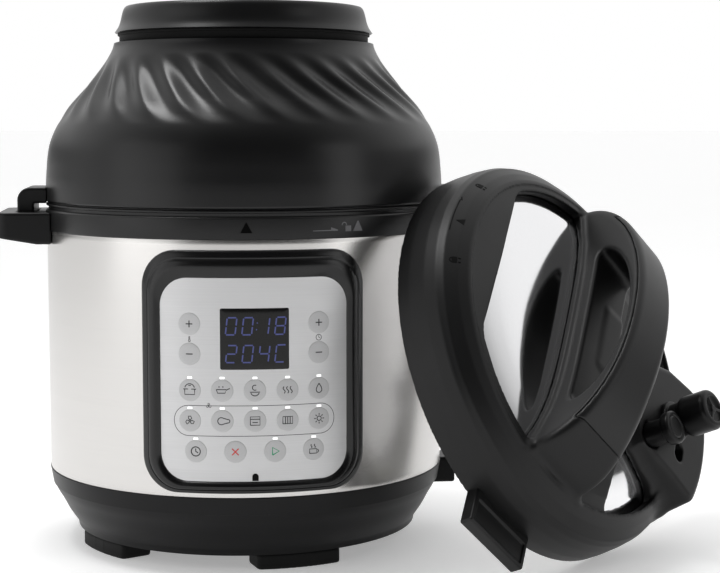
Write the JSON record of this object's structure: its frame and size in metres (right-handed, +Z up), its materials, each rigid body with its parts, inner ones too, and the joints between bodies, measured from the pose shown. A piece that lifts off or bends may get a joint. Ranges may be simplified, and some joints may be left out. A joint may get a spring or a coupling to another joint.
{
  "type": "electric pressure cooker",
  "caption": "Countertop electric pressure cooker with an air-frying lid fitted, a push-key control panel, lift-out pot and its domed pressure lid leaning beside it.",
  "frame": {"origin": "on the cooker's vertical axis, in the plane of its feet, where it stands on the counter", "axes": "+Z up; the control panel faces -Y; +X to the right seen from the front, the side the pressure lid leans on"},
  "size_m": [0.5222, 0.3965, 0.389],
  "materials": {
    "base_plastic": "fine moulded texture",
    "foot_rubber": "matt",
    "screw_steel": "zinc plated",
    "shell_steel": "brushed round the body",
    "collar_plastic": "satin",
    "liner_aluminium": "spun",
    "heater_aluminium": "machined",
    "spring_steel": "bright",
    "board_green": "solder mask",
    "bezel_plastic": "satin",
    "panel_silver": "fine brushed film",
    "key_grey": "textured film",
    "display_lens": "gloss smoked",
    "lamp_white": "lit diffuser",
    "collector_plastic": "smoked clear",
    "pot_steel": "satin brushed",
    "fryer_plastic": "satin moulded",
    "reflector_steel": "rolled",
    "coil_steel": "heat darkened",
    "guard_steel": "bright",
    "motor_metal": "plated",
    "fan_aluminium": "stamped",
    "lid_plastic": "matt moulded",
    "dome_steel": "polished",
    "seal_silicone": "translucent white",
    "valve_plastic": "satin",
    "float_metal": "bright"
  },
  "bodies": {
    "base": {"base_housing": "base_plastic", "feet": "foot_rubber", "base_screws": "screw_steel", "outer_shell": "shell_steel", "top_collar": "collar_plastic", "left_handle": "collar_plastic", "right_handle": "collar_plastic", "inner_housing": "liner_aluminium", "heater_plate": "heater_aluminium", "sensor_spring": "spring_steel", "power_board": "board_green", "control_board": "board_green", "panel_bezel": "bezel_plastic", "panel_face": "panel_silver", "display_window": "display_lens", "indicator_lights": "lamp_white", "power_inlet": "base_plastic", "collector_bracket": "collar_plastic"},
    "temperature_sensor": {"sensor_cap": "heater_aluminium"},
    "key_temp_up": {"key_temp_up": "key_grey"},
    "key_temp_down": {"key_temp_down": "key_grey"},
    "key_time_up": {"key_time_up": "key_grey"},
    "key_time_down": {"key_time_down": "key_grey"},
    "key_pressure_cook": {"key_pressure_cook": "key_grey"},
    "key_saute": {"key_saute": "key_grey"},
    "key_slow_cook": {"key_slow_cook": "key_grey"},
    "key_steam": {"key_steam": "key_grey"},
    "key_sous_vide": {"key_sous_vide": "key_grey"},
    "key_air_fry": {"key_air_fry": "key_grey"},
    "key_roast": {"key_roast": "key_grey"},
    "key_bake": {"key_bake": "key_grey"},
    "key_grill": {"key_grill": "key_grey"},
    "key_dehydrate": {"key_dehydrate": "key_grey"},
    "key_delay_start": {"key_delay_start": "key_grey"},
    "key_cancel": {"key_cancel": "key_grey"},
    "key_start": {"key_start": "key_grey"},
    "key_keep_warm": {"key_keep_warm": "key_grey"},
    "fryer_lid": {"fryer_lid_ring": "fryer_plastic", "fryer_lid_shell": "fryer_plastic", "fryer_lid_vent": "fryer_plastic", "fryer_lid_cap": "fryer_plastic", "fryer_lid_plug": "collar_plastic", "fryer_lid_fin": "collar_plastic", "heat_reflector": "reflector_steel", "heating_coil": "coil_steel", "coil_guard": "guard_steel", "fan_motor": "motor_metal"},
    "fan": {"convection_fan": "fan_aluminium"},
    "pot": {"inner_pot": "pot_steel"},
    "collector": {"condensation_collector": "collector_plastic"},
    "pressure_lid": {"pressure_lid_cover": "lid_plastic", "pressure_lid_handle": "lid_plastic", "pressure_lid_dome": "dome_steel", "sealing_ring": "seal_silicone", "sealing_ring_rack": "guard_steel"},
    "block_shield": {"anti_block_shield": "guard_steel"},
    "valve_knob": {"steam_valve": "valve_plastic"},
    "pressure_release": {"release_button": "valve_plastic"},
    "float_pin": {"float_valve": "float_metal"}
  },
  "joints": [
    {"name": "fryer_lid_lift", "type": "slide", "parent": "base", "child": "fryer_lid", "axis": [0, 0, 1], "range_m": [0, 0.3]},
    {"name": "fan_spin", "type": "hinge", "parent": "fryer_lid", "child": "fan", "pos_m": [0, 0, 0.29], "axis": [0, 0, 1], "continuous": true},
    {"name": "pot_lift", "type": "slide", "parent": "base", "child": "pot", "axis": [0, 0, 1], "range_m": [0, 0.16]},
    {"name": "sensor_press", "type": "slide", "parent": "base", "child": "temperature_sensor", "axis": [0, 0, -1], "range_m": [0, 0.002], "stiffness_N_per_m": 400, "springref_m": -0.003, "deforming": ["sensor_spring"]},
    {"name": "key_temp_up_press", "type": "slide", "parent": "base", "child": "key_temp_up", "axis": [0.294, 0.9558, 0], "range_m": [0, 0.0005], "stiffness_N_per_m": 500, "springref_m": -0.0005},
    {"name": "key_temp_down_press", "type": "slide", "parent": "base", "child": "key_temp_down", "axis": [0.294, 0.9558, 0], "range_m": [0, 0.0005], "stiffness_N_per_m": 500, "springref_m": -0.0005},
    {"name": "key_time_up_press", "type": "slide", "parent": "base", "child": "key_time_up", "axis": [-0.294, 0.9558, 0], "range_m": [0, 0.0005], "stiffness_N_per_m": 500, "springref_m": -0.0005},
    {"name": "key_time_down_press", "type": "slide", "parent": "base", "child": "key_time_down", "axis": [-0.294, 0.9558, 0], "range_m": [0, 0.0005], "stiffness_N_per_m": 500, "springref_m": -0.0005},
    {"name": "key_pressure_cook_press", "type": "slide", "parent": "base", "child": "key_pressure_cook", "axis": [0.294, 0.9558, 0], "range_m": [0, 0.0005], "stiffness_N_per_m": 500, "springref_m": -0.0005},
    {"name": "key_saute_press", "type": "slide", "parent": "base", "child": "key_saute", "axis": [0.1487, 0.9889, 0], "range_m": [0, 0.0005], "stiffness_N_per_m": 500, "springref_m": -0.0005},
    {"name": "key_slow_cook_press", "type": "slide", "parent": "base", "child": "key_slow_cook", "axis": [0, 1, 0], "range_m": [0, 0.0005], "stiffness_N_per_m": 500, "springref_m": -0.0005},
    {"name": "key_steam_press", "type": "slide", "parent": "base", "child": "key_steam", "axis": [-0.1487, 0.9889, 0], "range_m": [0, 0.0005], "stiffness_N_per_m": 500, "springref_m": -0.0005},
    {"name": "key_sous_vide_press", "type": "slide", "parent": "base", "child": "key_sous_vide", "axis": [-0.294, 0.9558, 0], "range_m": [0, 0.0005], "stiffness_N_per_m": 500, "springref_m": -0.0005},
    {"name": "key_air_fry_press", "type": "slide", "parent": "base", "child": "key_air_fry", "axis": [0.294, 0.9558, 0], "range_m": [0, 0.0005], "stiffness_N_per_m": 500, "springref_m": -0.0005},
    {"name": "key_roast_press", "type": "slide", "parent": "base", "child": "key_roast", "axis": [0.1487, 0.9889, 0], "range_m": [0, 0.0005], "stiffness_N_per_m": 500, "springref_m": -0.0005},
    {"name": "key_bake_press", "type": "slide", "parent": "base", "child": "key_bake", "axis": [0, 1, 0], "range_m": [0, 0.0005], "stiffness_N_per_m": 500, "springref_m": -0.0005},
    {"name": "key_grill_press", "type": "slide", "parent": "base", "child": "key_grill", "axis": [-0.1487, 0.9889, 0], "range_m": [0, 0.0005], "stiffness_N_per_m": 500, "springref_m": -0.0005},
    {"name": "key_dehydrate_press", "type": "slide", "parent": "base", "child": "key_dehydrate", "axis": [-0.294, 0.9558, 0], "range_m": [0, 0.0005], "stiffness_N_per_m": 500, "springref_m": -0.0005},
    {"name": "key_delay_start_press", "type": "slide", "parent": "base", "child": "key_delay_start", "axis": [0.2689, 0.9632, 0], "range_m": [0, 0.0005], "stiffness_N_per_m": 500, "springref_m": -0.0005},
    {"name": "key_cancel_press", "type": "slide", "parent": "base", "child": "key_cancel", "axis": [0.0906, 0.9959, 0], "range_m": [0, 0.0005], "stiffness_N_per_m": 500, "springref_m": -0.0005},
    {"name": "key_start_press", "type": "slide", "parent": "base", "child": "key_start", "axis": [-0.0906, 0.9959, 0], "range_m": [0, 0.0005], "stiffness_N_per_m": 500, "springref_m": -0.0005},
    {"name": "key_keep_warm_press", "type": "slide", "parent": "base", "child": "key_keep_warm", "axis": [-0.2689, 0.9632, 0], "range_m": [0, 0.0005], "stiffness_N_per_m": 500, "springref_m": -0.0005},
    {"name": "collector_pull", "type": "slide", "parent": "base", "child": "collector", "axis": [0, 1, 0], "range_m": [0, 0.05]},
    {"name": "pressure_lid_take_away", "type": "slide", "parent": "base", "child": "pressure_lid", "axis": [0.7455, -0.6665, 0], "range_m": [0, 0.15]},
    {"name": "release_press", "type": "slide", "parent": "pressure_lid", "child": "pressure_release", "axis": [-0.689, 0.616, -0.3819], "range_m": [0, 0.004], "stiffness_N_per_m": 300, "springref_m": -0.002},
    {"name": "steam_valve_lift", "type": "slide", "parent": "pressure_lid", "child": "valve_knob", "axis": [0.689, -0.616, 0.3819], "range_m": [0, 0.003]},
    {"name": "float_rise", "type": "slide", "parent": "pressure_lid", "child": "float_pin", "axis": [0.689, -0.616, 0.3819], "range_m": [0, 0.005]},
    {"name": "shield_pull", "type": "slide", "parent": "pressure_lid", "child": "block_shield", "axis": [-0.689, 0.616, -0.3819], "range_m": [0, 0.03]}
  ],
  "couplings": [
    {"joint": "pot_lift", "follows": "fryer_lid_lift", "ratio": 0.5},
    {"joint": "steam_valve_lift", "follows": "release_press", "ratio": 0.75}
  ]
}
